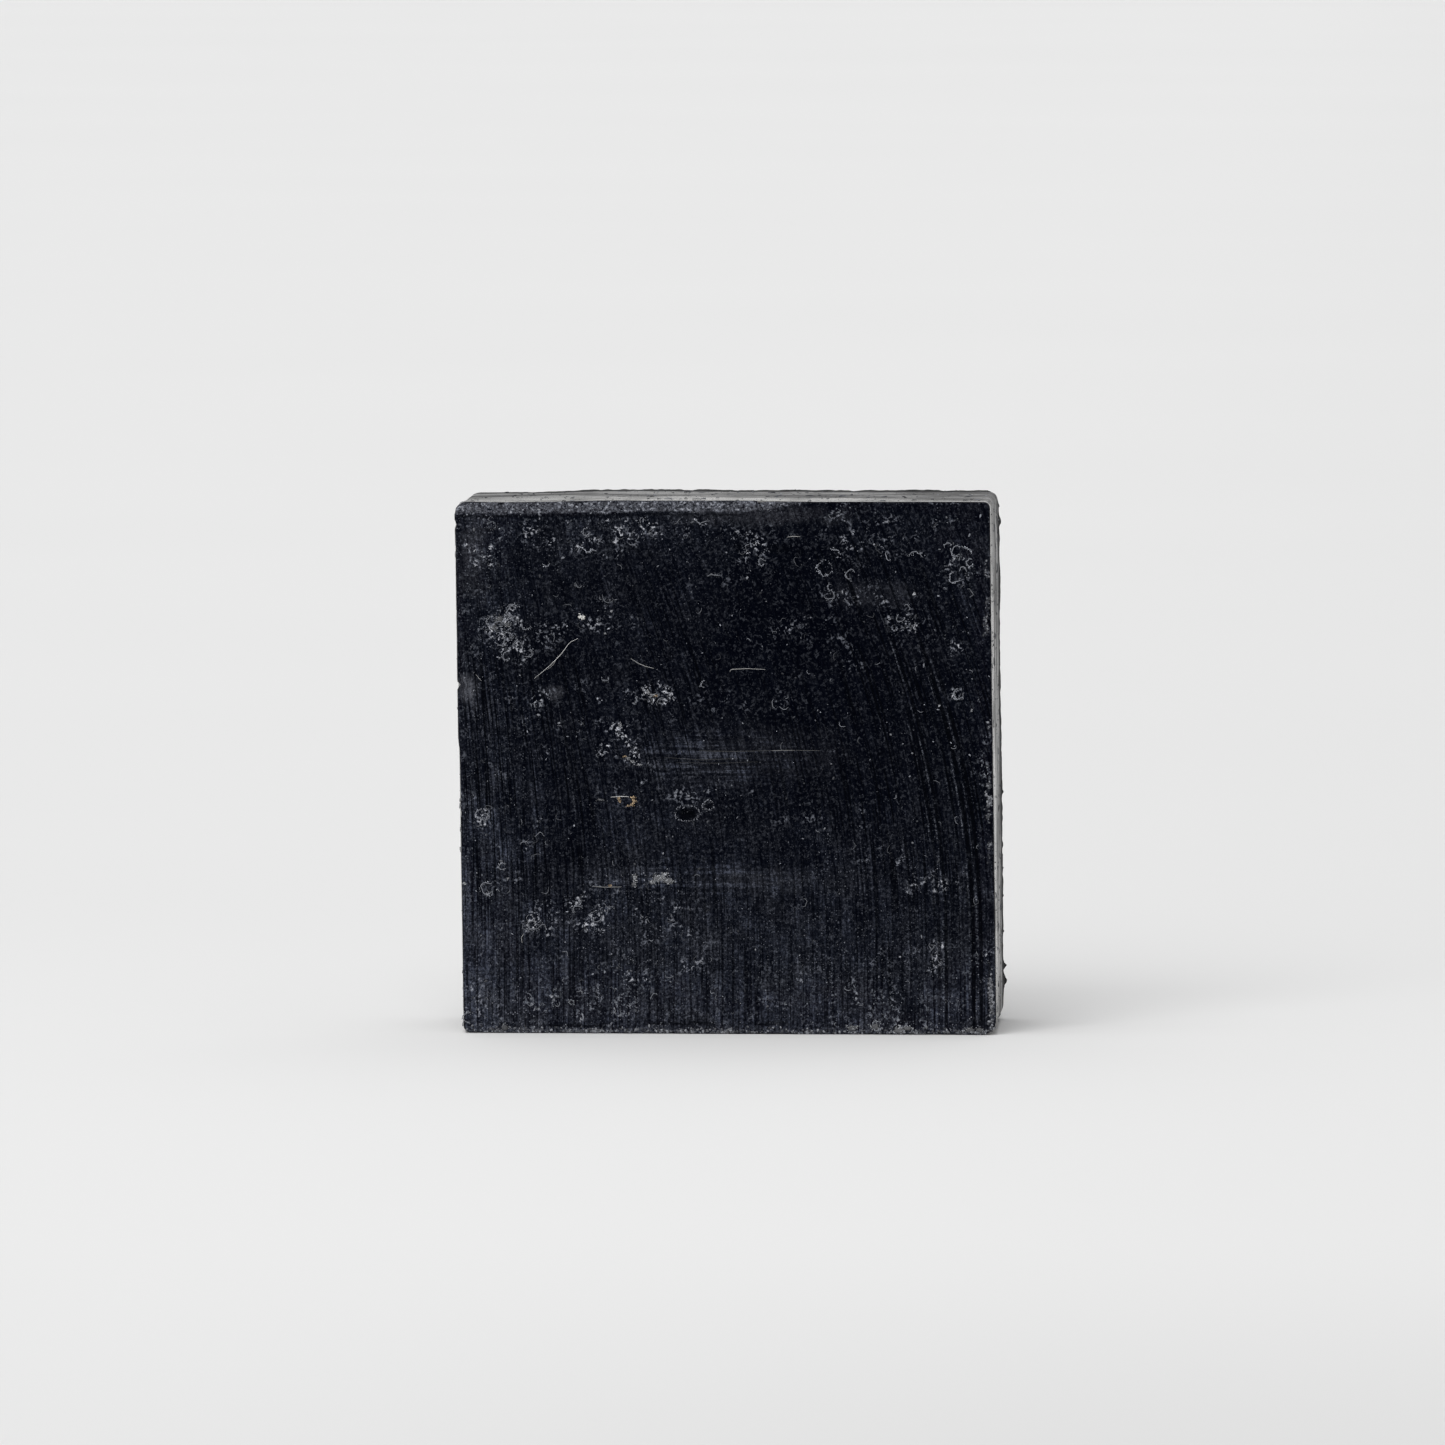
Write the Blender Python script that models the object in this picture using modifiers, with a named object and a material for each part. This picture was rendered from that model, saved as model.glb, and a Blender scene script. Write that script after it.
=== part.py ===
"""Hand-cut square charcoal block, stood on edge.

One solid: a slice cut from a cast charcoal bar. Its outline leans a little, its four
corners are worn to different radii, its two cut faces have a broken arris, and the
arris over the front face is planed off in a bevel that tapers away to the right.

Metres, +Z up. X runs across the cut front face, which faces -Y, and Y is the depth.
The origin is the bottom centre of the block's bounding box.
"""

import math

import bmesh
import bpy
from mathutils import Matrix, Vector

# Driving dimensions
FACE_WIDTH = 0.065
FACE_HEIGHT = 0.065
DEPTH = 0.025
LEAN = 0.0008  # how far the top edge sits left of the bottom edge

# Worn corners of the outline, as radii
RADIUS_TOP_LEFT = 0.0014
RADIUS_TOP_RIGHT = 0.0007
RADIUS_BOTTOM_LEFT = 0.0009
RADIUS_BOTTOM_RIGHT = 0.0014
CORNER_STEPS = 6

# Broken arris round the two cut faces
ARRIS = 0.00035
ARRIS_SEGMENTS = 2

# Planed bevel over the front face, measured down the face and back along the top
BEVEL_DROP_LEFT = 0.0015
BEVEL_DROP_RIGHT = 0.00035
BEVEL_RUN_LEFT = 0.0006
BEVEL_RUN_RIGHT = 0.0002
BEVEL_OVERSHOOT = 0.006  # how far the cutter runs past the block's ends

# Cut face of pressed charcoal: near-black with a blue cast
CHARCOAL_COLOUR = (0.0105, 0.0115, 0.0155, 1.0)
CHARCOAL_ROUGHNESS = 0.62


def clear_scene():
    """Removes whatever objects the open file holds."""
    for existing in list(bpy.data.objects):
        bpy.data.objects.remove(existing, do_unlink=True)


def new_collection(name):
    """A collection of that name, linked to the scene."""
    collection = bpy.data.collections.new(name)
    bpy.context.scene.collection.children.link(collection)
    return collection


def charcoal_material():
    """Dry, matt, blue-black charcoal."""
    material = bpy.data.materials.new("charcoal")
    material.use_nodes = True
    shader = material.node_tree.nodes["Principled BSDF"]
    shader.inputs["Base Color"].default_value = CHARCOAL_COLOUR
    shader.inputs["Roughness"].default_value = CHARCOAL_ROUGHNESS
    shader.inputs["Metallic"].default_value = 0.0
    return material


def face_corners():
    """The outline's sharp corners and their radii, anticlockwise from bottom left, as (x, z)."""
    half = FACE_WIDTH / 2
    shift = LEAN / 2
    return [
        ((-half + shift, 0.0), RADIUS_BOTTOM_LEFT),
        ((half + shift, 0.0), RADIUS_BOTTOM_RIGHT),
        ((half - shift, FACE_HEIGHT), RADIUS_TOP_RIGHT),
        ((-half - shift, FACE_HEIGHT), RADIUS_TOP_LEFT),
    ]


def rounded_corner(before, corner, after, radius):
    """Points on the arc that rounds one corner, from the incoming side to the outgoing one."""
    corner = Vector(corner)
    towards_before = (Vector(before) - corner).normalized()
    towards_after = (Vector(after) - corner).normalized()
    half_angle = towards_before.angle(towards_after) / 2
    setback = radius / math.tan(half_angle)
    centre_direction = (towards_before + towards_after).normalized()
    centre = corner + centre_direction * (radius / math.sin(half_angle))
    start = corner + towards_before * setback - centre
    turn = math.pi - 2 * half_angle
    points = []
    for step in range(CORNER_STEPS + 1):
        angle = turn * step / CORNER_STEPS
        points.append(centre + Matrix.Rotation(angle, 2) @ start)
    return points


def outline_points():
    """The rounded, slightly leaning square outline, anticlockwise."""
    corners = face_corners()
    points = []
    for index, (corner, radius) in enumerate(corners):
        before = corners[index - 1][0]
        after = corners[(index + 1) % len(corners)][0]
        points += rounded_corner(before, corner, after, radius)
    return points


def add_outline_solid(name, points, depth, collection):
    """A closed flat outline in X and Z, thickened to depth along Y and centred on it."""
    curve = bpy.data.curves.new(name + "_outline", "CURVE")
    curve.dimensions = "2D"
    curve.fill_mode = "BOTH"
    curve.extrude = depth / 2
    spline = curve.splines.new("POLY")
    spline.points.add(len(points) - 1)
    for spline_point, point in zip(spline.points, points):
        spline_point.co = (point[0], point[1], 0.0, 1.0)
    spline.use_cyclic_u = True
    outline = bpy.data.objects.new(name + "_outline", curve)
    outline.rotation_euler = (math.radians(90), 0.0, 0.0)
    collection.objects.link(outline)
    bpy.context.view_layer.update()

    evaluated = outline.evaluated_get(bpy.context.evaluated_depsgraph_get())
    mesh = bpy.data.meshes.new_from_object(evaluated)
    mesh.name = name
    weld = bmesh.new()
    weld.from_mesh(mesh)
    bmesh.ops.remove_doubles(weld, verts=weld.verts, dist=0.000001)
    weld.to_mesh(mesh)
    weld.free()
    solid = bpy.data.objects.new(name, mesh)
    solid.matrix_world = outline.matrix_world
    collection.objects.link(solid)
    bpy.data.objects.remove(outline)
    return solid


def add_bevel_cutter(name, collection):
    """A wedge along the top of the front face, deep at the left and shallow at the right."""
    bpy.ops.mesh.primitive_cube_add(size=1.0)
    cutter = bpy.context.object
    cutter.name = name
    cutter.hide_render = True
    cutter.display_type = "WIRE"
    for owner in list(cutter.users_collection):
        owner.objects.unlink(cutter)
    collection.objects.link(cutter)

    half_length = FACE_WIDTH / 2 + BEVEL_OVERSHOOT
    front = -DEPTH / 2
    for vertex in cutter.data.vertices:
        at_left = vertex.co.x < 0
        drop = BEVEL_DROP_LEFT if at_left else BEVEL_DROP_RIGHT
        run = BEVEL_RUN_LEFT if at_left else BEVEL_RUN_RIGHT
        edge_on_face = Vector((front, FACE_HEIGHT - drop))
        edge_on_top = Vector((front + run, FACE_HEIGHT))
        along_plane = (edge_on_top - edge_on_face).normalized()
        outward = Vector((-along_plane.y, along_plane.x))
        is_high = vertex.co.z > 0
        is_outer = vertex.co.y < 0
        point = edge_on_top + along_plane * drop if is_high else edge_on_face - along_plane * drop
        if is_outer:
            point = point + outward * 3 * drop
        vertex.co = (math.copysign(half_length, vertex.co.x), point.x, point.y)
    return cutter


def build_block(parts, cutters):
    """The block: outline solid, planed bevel, then broken arrises."""
    block = add_outline_solid("charcoal_block", outline_points(), DEPTH, parts)
    block.data.materials.clear()
    block.data.materials.append(charcoal_material())

    planed = block.modifiers.new("planed_bevel", "BOOLEAN")
    planed.operation = "DIFFERENCE"
    planed.object = add_bevel_cutter("bevel_cutter", cutters)

    arris = block.modifiers.new("broken_arris", "BEVEL")
    arris.width = ARRIS
    arris.segments = ARRIS_SEGMENTS
    arris.limit_method = "ANGLE"
    arris.angle_limit = math.radians(50)
    arris.use_clamp_overlap = True
    return block


def main():
    clear_scene()
    parts = new_collection("charcoal_block_parts")
    cutters = new_collection("cutters")
    build_block(parts, cutters)


main()
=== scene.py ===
"""Looks of a hand-cut square charcoal block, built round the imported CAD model.

The block is one piece, so one closed mesh carries its shape: the leaning outline, the
planed arris, the knife's drag marks, pits, nicks and the ragged rear burr. Grains and curls
of ash, chips of crust, lint and a few flecks of dirt lie on it as pieces of their own.

The frame is in metres. Everything below is worked out in millimetres and converted
where a mesh is made. X runs across the front face, -Y faces the camera, +Z is up.
"""

import math

import bmesh
import bpy
import numpy as np
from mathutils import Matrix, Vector
from mathutils.bvhtree import BVHTree


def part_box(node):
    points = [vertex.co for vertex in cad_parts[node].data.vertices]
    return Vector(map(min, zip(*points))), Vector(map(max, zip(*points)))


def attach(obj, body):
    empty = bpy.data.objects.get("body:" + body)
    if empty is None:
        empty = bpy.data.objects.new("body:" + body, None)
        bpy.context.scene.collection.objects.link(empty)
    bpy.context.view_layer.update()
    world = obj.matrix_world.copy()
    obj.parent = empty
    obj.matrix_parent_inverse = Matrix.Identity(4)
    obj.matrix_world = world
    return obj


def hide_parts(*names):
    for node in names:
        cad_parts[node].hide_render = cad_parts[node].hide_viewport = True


MM = 0.001

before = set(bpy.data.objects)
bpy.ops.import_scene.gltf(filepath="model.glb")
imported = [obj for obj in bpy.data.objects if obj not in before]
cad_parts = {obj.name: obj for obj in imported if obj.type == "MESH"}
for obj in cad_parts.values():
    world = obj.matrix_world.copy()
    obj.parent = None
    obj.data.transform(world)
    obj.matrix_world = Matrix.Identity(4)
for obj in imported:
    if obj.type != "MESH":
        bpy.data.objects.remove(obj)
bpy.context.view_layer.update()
cad_low, cad_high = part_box("charcoal_block")

# The block's size and cut, in millimetres
WIDTH = (cad_high.x - cad_low.x) / MM
DEPTH = (cad_high.y - cad_low.y) / MM
HEIGHT = (cad_high.z - cad_low.z) / MM
FRONT = cad_low.y / MM
BACK = cad_high.y / MM
LEAN = 0.8
SIDE_ROOM = 0.04
HALF = (WIDTH - LEAN) / 2 - SIDE_ROOM
CORNER_RADII = {(-1, 1): 1.4, (1, 1): 0.8, (-1, -1): 0.9, (1, -1): 1.9}

# Its edges: the broken arris, the planed one where it is deepest and shallowest, how far the
# burnt rim reaches from the back, how far the top sinks and the left of it sinks besides,
# and how high the lowest points stay above the table
ARRIS = 0.3
BEVEL_DEEP = 1.45
BEVEL_SHALLOW = 0.3
BURNT_DEPTH = 1.25
TOP_SINK = 0.30
LEFT_SINK = 0.28
TABLE_GAP = 0.02

# The marks on the back: their slope, and how far their pattern is moved from the front's
BACK_SLANT = 0.12
BACK_SHIFT = 90

# The rear burr: where it starts and is full, in mm from the back, and the knocked corner
BURR_STARTS = 1.8
BURR_FULL = 0.15
KNOCK_DEPTH = 0.35
KNOCK_REACH = 1.6

# Fineness of the block's mesh
FACE_CELLS = 216
WALL_EDGE_STEPS = (0.25, 0.6, 1.05, 1.6, 2.3)
BURR_STEPS = (0.12, 0.3, 0.5, 0.75, 1.2, 2.3)
WALL_MIDDLE_ROWS = 20
ARC_ANGLES = (30, 60, 90)

# Random numbers: the seed, and how far the noise's lattice is moved off the origin
SEED = 20
LATTICE_SHIFT = 37.0

# Lightness of bare charcoal, in doublings
BASE_STOPS = -1.9


# --- noise and small shape helpers ---


def smooth(low, high, value):
    """0 below low, 1 above high, easing in between."""
    t = np.clip((value - low) / (high - low), 0.0, 1.0)
    return t * t * (3 - 2 * t)


def lattice_value(cells, seed):
    """A repeatable random number from 0 to 1 for each whole-numbered lattice point."""
    x, y, z = (cells[..., axis].astype(np.int64).astype(np.uint32) for axis in range(3))
    mixed = x * np.uint32(73856093) ^ y * np.uint32(19349663) ^ z * np.uint32(83492791)
    mixed ^= np.uint32((seed * 2654435761) & 0xFFFFFFFF)
    for shift, factor in ((15, 2246822519), (13, 3266489917)):
        mixed = (mixed ^ (mixed >> np.uint32(shift))) * np.uint32(factor)
    mixed ^= mixed >> np.uint32(16)
    return mixed.astype(float) / 0xFFFFFFFF


def noise(points, cell, seed, octaves=1):
    """Smooth value noise from -1 to 1. cell is the grain size in mm, one number or three."""
    total = np.zeros(len(points))
    weight_sum = 0.0
    for octave in range(octaves):
        scaled = points / np.asarray(cell, float) * 2.0**octave + LATTICE_SHIFT
        low = np.floor(scaled)
        part = scaled - low
        part = part * part * (3 - 2 * part)
        value = np.zeros(len(points))
        for corner in np.ndindex(2, 2, 2):
            offset = np.array(corner)
            weight = np.prod(np.where(offset, part, 1 - part), axis=1)
            value += weight * lattice_value(low + offset, SEED + seed + octave)
        total += (2 * value - 1) * 0.5**octave
        weight_sum += 0.5**octave
    return total / weight_sum


def columns(*parts):
    """One array whose columns are the parts. A plain number fills its whole column."""
    return np.stack(np.broadcast_arrays(*parts), axis=1)


def plane_noise(across, along, cell, seed, octaves=1):
    """noise() over a plane."""
    return noise(columns(across, along, 0.0), cell, seed, octaves)


def ellipse_distance(x, z, spot):
    """Distance from an ellipse's centre, as a share of its radius. spot is x, z, rx, rz."""
    return np.hypot((x - spot[0]) / spot[2], (z - spot[1]) / spot[3])


def bell(offset, width):
    """A smooth bump: 1 where the offset is 0, falling away over the width."""
    return np.exp(-((offset / width) ** 2))


# --- where things are on the front face ---
# Places are x, z in mm on the face, x from the middle and z up from the floor.

# Clusters of pale ash: x, z, half width, half height, amount
ASH_PATCHES = [
    (-26.8, 49.6, 2.6, 3.2, 1), (-24.8, 46.6, 1.6, 1.7, 0.7), (-29.6, 59.4, 1.8, 2.2, 0.7),
    (-29, 62.7, 1.2, 0.9, 0.9), (-21, 48.8, 2, 1.6, 0.4), (-14, 50.5, 3.5, 2, 0.35),
    (-17, 58.8, 1.6, 1, 0.6), (-20, 61.2, 4.5, 2, 0.6), (-13.5, 60.8, 4, 2.2, 0.5),
    (20.5, 61.5, 4.5, 1.8, 0.45), (-5, 29.5, 6, 2, 0.25), (-9, 61.5, 2.6, 1.5, 0.8),
    (-4, 61.8, 3.5, 1.5, 0.6), (2.5, 60, 3.5, 2, 0.5), (-9.2, 41.5, 3, 1.6, 0.85),
    (-12.5, 35.2, 3, 3.2, 0.7), (21.2, 50.8, 1.8, 1.8, 0.4), (15.5, 53.6, 3.6, 1.3, 0.4),
    (17.5, 60, 5, 2, 0.35), (28.2, 57.2, 1.8, 2.2, 0.5), (28.1, 41.2, 0.9, 1, 0.8),
    (28, 47, 1, 1, 0.6), (-29.5, 26.7, 1.1, 1.2, 1), (-28.9, 17.6, 0.8, 1, 0.8),
    (-26.5, 21, 3, 2.5, 0.4), (-18, 16.4, 1.5, 1.6, 0.9), (-15.5, 14, 2.5, 1.5, 0.6),
    (-23, 13.5, 2, 1.5, 0.6), (-8, 15, 4, 2, 0.35), (24.4, 17.8, 3, 2.4, 0.35),
    (25.4, 10.4, 1.2, 1.6, 0.7), (19, 22, 3, 1.2, 0.4),
]

# Smears of smooth blue-grey film: x, z, half width, half height, amount
FILM_PATCHES = [
    (-31.2, 42, 1.4, 1.6, 1), (-20.4, 41.8, 1, 0.8, 0.5), (3.2, 18.9, 7, 1.5, 0.18),
    (17.8, 53.8, 4.5, 1.6, 0.15), (4, 63.3, 9, 1.2, 0.35), (4, 34, 9, 3, 0.12),
    (-30.5, 59, 1.5, 5, 0.25),
]

# Where the bare charcoal is lighter or darker: x, z, half width, half height, doublings
TONE_PATCHES = [
    (9, 46, 16, 17, -1.6), (8, 51, 9, 6, -0.4), (2, 38, 7, 9, -0.3), (-4, 12, 10, 9, 0.25),
    (27, 18, 8, 7, -0.3), (8, 61, 8, 4, -0.75), (-29, 60, 5, 4.5, -0.4), (-13, 61, 8, 3.5, 0.4),
    (-21, 44, 4, 6, -0.5), (29, 31, 5, 12, -0.5), (-29, 20, 7, 14, 0.5), (-12, 13, 5, 5, 0.4),
    (-7, 29, 8, 11, 0.6), (18, 53.5, 4.5, 3.5, 0.6), (26, 36, 8, 10, -0.3), (-21, 44, 6, 10, -0.4),
]

# Bands of clearer score lines higher up: x, z, half width, half height, amount
SCORED_PATCHES = [(-6, 43, 4, 12, 1), (15, 57, 5, 7, 1), (9, 35, 3.5, 6, 0.8)]

# Pits in the face: x, z, half width, half height, depth, height of the raised rim
PITS = [
    (-4.65, 26.8, 1.35, 0.85, 0.42, 0.07), (-2.05, 27.8, 0.5, 0.5, 0.1, 0.05),
    (-28.4, 61.6, 0.4, 0.35, 0.3, 0.02), (6.4, 59.2, 1.9, 0.75, 0.16, 0),
    (12, 56.6, 0.75, 0.85, 0.08, 0.03), (13.2, 58.3, 0.45, 0.6, 0.12, 0.04),
    (28.4, 58.4, 0.8, 0.7, 0.1, 0.04), (-8.5, 4, 0.45, 0.6, 0.08, 0.03),
]

# Deep drag marks, in the curved frame of the knife's sweep:
# place across the sweep, half width, depth, lowest and highest z
GROOVES = [
    (25.9, 0.24, 0.07, 0, 44), (26.8, 0.26, 0.085, 0, 52), (28.9, 0.22, 0.05, 12, 50),
    (30.1, 0.34, 0.11, 0, 50), (31, 0.32, 0.12, 0, 46), (22.5, 0.18, 0.045, 8, 40),
    (-24.7, 0.18, 0.06, 2, 14), (-16.9, 0.18, 0.05, 24, 44),
]

# Cracks along the bottom arris, where a sliver has started to lift: ends, z, depth
CRACKS = [(-9.4, -0.8, 1.25, 0.14), (3.4, 7.9, 1.2, 0.12), (-22, -14, 1, 0.05)]

# Nicks in the front-left arris: z, half length, depth
LEFT_NICKS = [(62.2, 0.5, 0.22), (42.7, 0.55, 0.38), (64, 0.4, 0.1), (27, 0.6, 0.1)]

# Chips standing out of the rear-right burr: z, half length, height
RIGHT_CHIPS = [
    (61.4, 0.8, 0.3), (28, 0.3, 0.25), (21.5, 0.5, 0.15), (6.6, 0.5, 0.35), (4.9, 0.9, 0.45),
]


def spread(x, z, patches, seed):
    """How strongly a list of soft-edged, ragged patches covers each point."""
    ragged = 1 + 0.45 * plane_noise(x, z, 1.6, seed, 2)
    total = np.zeros_like(x)
    for *spot, amount in patches:
        reach = ellipse_distance(x, z, spot) * ragged
        total = np.maximum(total, amount * smooth(1.45, 0.35, reach))
    return total


def ash_on_front(x, z):
    """Density of ash crumbs on the front face, 0 to 1."""
    blotches = smooth(0.10, 0.9, plane_noise(x, z, 4.5, 1, 3))
    clumps = 0.15 + 0.95 * smooth(-0.10, 0.35, plane_noise(x, z, 1.1, 18, 2))
    edges = 0.14 * smooth(14, 3, z) + 0.10 * smooth(-24, -31, x)
    whole = 0.06 + edges + 0.35 * blotches + spread(x, z, ASH_PATCHES, 2)
    return np.clip(whole * clumps, 0, 1)


def film_on_front(x, z):
    """Strength of the smooth blue-grey film on the front face, 0 to 1."""
    clouds = 0.5 + 0.5 * plane_noise(x, z, 7.0, 3, 3)
    # the film grows stronger towards the bottom
    film_rising_at_foot = 0.03 * smooth(24, 1, z)
    return np.clip(0.006 * clouds + film_rising_at_foot + spread(x, z, FILM_PATCHES, 4), 0, 1)


def stops_on_front(x, z):
    """How much lighter or darker than usual the bare charcoal is, in doublings."""
    stops = 1.35 * smooth(32, 6, z) + 0.6 * smooth(9, 3, z)
    stops += 0.9 * smooth(-21, -30, x) + 0.5 * smooth(56, 61, z)
    stops -= 0.35 * smooth(-2, 6, x) * smooth(26, 36, z)
    for *spot, amount in TONE_PATCHES:
        stops += amount * smooth(1.6, 0.2, ellipse_distance(x, z, spot))
    return stops + 0.35 * plane_noise(x, z, 6.0, 17, 3)


def smear_on_front(x, z):
    """Where the face was rubbed sideways, which leaves level streaks."""
    middle = smooth(1.3, 0.4, ellipse_distance(x, z, (0, 34, 12, 4.2)))
    lower = smooth(1.3, 0.4, ellipse_distance(x, z, (-4, 19, 14, 2.2)))
    return np.maximum(middle, 0.6 * lower)


def drag_frame(x, z):
    """Place across and along the knife's sweep, whose marks lean left towards the top."""
    heights = np.linspace(0, HEIGHT, 200)
    slope = np.tan(np.radians(20) * smooth(5, 55, heights))
    shift = np.cumsum(slope) * (heights[1] - heights[0])
    lean = 0.35 + 0.65 * smooth(-HALF, -12, x)
    return x + lean * np.interp(z, heights, shift), z


def drag_relief(across, along, seed):
    """Ridges and hollows that the knife leaves, in mm."""
    coarse = plane_noise(across, along, (1.3, 22, 1), seed, 2)
    fine = plane_noise(across, along, (0.45, 9, 1), seed + 5, 2)
    return 0.030 * coarse + 0.016 * fine


def groove_relief(across, along):
    """Relief of the deep drag marks, in mm."""
    relief = np.zeros_like(across)
    for place, half_width, depth, low, high in GROOVES:
        fade = smooth(low - 2, low + 2, along) * smooth(high + 6, high - 8, along)
        relief -= depth * bell(across - place, half_width) * fade
    return relief


def scored_on_front(x, z):
    """How clearly the knife's fine score lines show, 0 to 1."""
    right = smooth(8, 18, x) * smooth(62, 48, z) * (1 - 0.70 * smooth(26, 14, z))
    low = 0.25 * smooth(32, 14, z)
    left = smooth(-12, -20, x) * smooth(54, 38, z) * (1 - 0.65 * smooth(26, 14, z))
    bands = spread(x, z, SCORED_PATCHES, 6)
    return 0.35 + 0.65 * np.max([right, low, left, bands], axis=0)


def random_pits(count, seed):
    """Small shallow pits scattered over a face, in the same form as PITS."""
    rng = np.random.default_rng(SEED + seed)
    pits = []
    for _ in range(count):
        x = rng.uniform(-HALF + 1, HALF - 1)
        z = rng.uniform(1.5, HEIGHT - 2)
        radius = rng.uniform(0.2, 0.55)
        pits.append((x, z, radius, radius * rng.uniform(0.7, 1.3), radius * 0.25, 0.02))
    return pits


FRONT_PITS = PITS + random_pits(70, 14)
BACK_PITS = random_pits(45, 34)


def pit_relief(x, z, pits):
    """Share of the pits at each point, which is painted dark as shade on the front, and how far
    they hollow or raise it, in mm.
    """
    share, relief = np.zeros_like(x), np.zeros_like(x)
    ragged = 1 + 0.16 * plane_noise(x, z, 0.7, 7, 2)
    for *spot, depth, rim in pits:
        reach = ellipse_distance(x, z, spot) * ragged
        hollow = smooth(1.05, 0.55, reach)
        share = np.maximum(share, hollow * min(1.0, 3.5 * depth))
        relief += rim * bell(reach - 1.15, 0.2) - depth * hollow
    return share, relief


def crust_on_front(x, z):
    """Pale crumbly crust along the bottom, the right arris and the bottom corners. The pale line
    along the right arris is partly crust and partly a painted highlight.
    """
    ragged = plane_noise(x, z, 1.1, 8, 3)
    bottom = smooth(0.9, 0.3, z + 0.6 * ragged) * (0.15 + 0.85 * smooth(0.0, 0.5, ragged))
    # painted highlight, partly crust: a thin pale line just inside the right arris
    edge = HALF - LEAN * (z / HEIGHT - 0.5) - x
    along_right = plane_noise(z * 0, z, 5.0, 9, 2)
    wide = 0.20 + 0.45 * smooth(1.2, 0.6, np.abs(z - 40.5) / 3.0)
    right = smooth(1.0, 0.4, np.abs(edge - 0.62 + 0.20 * ragged) / wide)
    right = right * smooth(-0.2, 0.3, along_right + 0.3 * ragged) * (1 - 0.4 * smooth(44, 50, z))
    return np.clip(np.maximum(bottom, 0.9 * right), 0, 1)


def crack_relief(x, z):
    """Slits along the bottom arris: their share at each point, which is painted dark as shade, and
    relief in mm.
    """
    share, relief = np.zeros_like(x), np.zeros_like(x)
    wobble = 0.22 * plane_noise(x, x * 0, 2.2, 10, 2)
    for start, end, height, depth in CRACKS:
        inside = smooth(start - 0.5, start + 0.8, x) * smooth(end + 0.5, end - 0.8, x)
        above = z - height - wobble
        slit = bell(above, 0.16) * inside
        share = np.maximum(share, slit)
        relief += 0.05 * bell(above - 0.42, 0.2) * inside - depth * slit
    return share, relief


def front_relief(x, z):
    """Height of the front face above its cut plane, in mm."""
    across, along = drag_frame(x, z)
    relief = 0.05 * plane_noise(x, z, 13, 11) + 0.018 * plane_noise(x, z, 2.4, 12, 3)
    relief += drag_relief(across, along, 13) + groove_relief(across, along)
    relief += crack_relief(x, z)[1] + pit_relief(x, z, FRONT_PITS)[1]
    relief += 0.05 * ash_on_front(x, z) * plane_noise(x, z, 0.5, 15, 2)
    return relief + 0.10 * crust_on_front(x, z) * plane_noise(x, z, 0.7, 16, 2)


def back_relief(x, z):
    """Height of the back face: cut like the front, with straighter marks."""
    relief = 0.06 * plane_noise(x, z, 12, 31) + 0.02 * plane_noise(x, z, 2.6, 32, 3)
    relief += drag_relief(x - BACK_SLANT * z, z, 33)
    return relief + pit_relief(x, z, BACK_PITS)[1]


def wall_relief(points):
    """Height of the bar's moulded skin on the four edge faces, in mm."""
    relief = 0.07 * noise(points, 11, 51) + 0.025 * noise(points, 2.2, 52, 3)
    return relief - 0.10 * smooth(0.62, 0.95, noise(points, 1.1, 53))


# --- the block's mesh ---


def outline_point(across, up):
    """The outline point in a direction from the face's centre, and its outward normal.

    across and up run from -1 to 1, with one of them at its limit. The results are in mm
    from the face's centre, before the lean.
    """
    x = across * HALF
    z = up * HEIGHT / 2
    radius = np.ones_like(x)
    for (side, top), corner_radius in CORNER_RADII.items():
        radius[(np.sign(x) == side) & (np.sign(z) == top)] = corner_radius
    inner_x = np.clip(x, radius - HALF, HALF - radius)
    inner_z = np.clip(z, radius - HEIGHT / 2, HEIGHT / 2 - radius)
    length = np.hypot(x - inner_x, z - inner_z)
    normal = columns((x - inner_x) / length, (z - inner_z) / length)
    return columns(inner_x, inner_z) + normal * radius[:, None], normal


def arris_radius(edge):
    """Size of the broken arris at an outline point: it varies along the edge."""
    return ARRIS * (1 + 0.45 * plane_noise(*edge.T, 3.0, 60))


def face_point(across, up):
    """Where a grid point of a square face lies within the rounded outline."""
    reach = np.maximum(np.abs(across), np.abs(up))
    at_centre = reach < 1e-6
    safe = np.where(at_centre, 1.0, reach)
    edge, normal = outline_point(across / safe, np.where(at_centre, 1.0, up / safe))
    sharp = columns(across / safe * HALF, up / safe * HEIGHT / 2)
    flat = columns(across * HALF, up * HEIGHT / 2)
    inset = normal * arris_radius(edge)[:, None]
    rounding = smooth(0.80, 1.0, reach)[:, None]
    insetting = smooth(0.90, 1.0, reach)[:, None]
    return flat + (edge - sharp) * rounding - inset * insetting


def square_grid(cells):
    """Grid coordinates from -1 to 1, and each point's index, for a face of that many cells."""
    steps = np.linspace(-1, 1, cells + 1)
    across, up = (part.ravel() for part in np.meshgrid(steps, steps, indexing="ij"))
    return across, up, np.arange((cells + 1) ** 2).reshape(cells + 1, cells + 1)


def perimeter(index):
    """The outer points of a square grid in order, anticlockwise from the bottom left."""
    bottom, right = index[:-1, 0], index[-1, :-1]
    top, left = index[:0:-1, -1], index[0, :0:-1]
    return np.concatenate([bottom, right, top, left])


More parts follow.
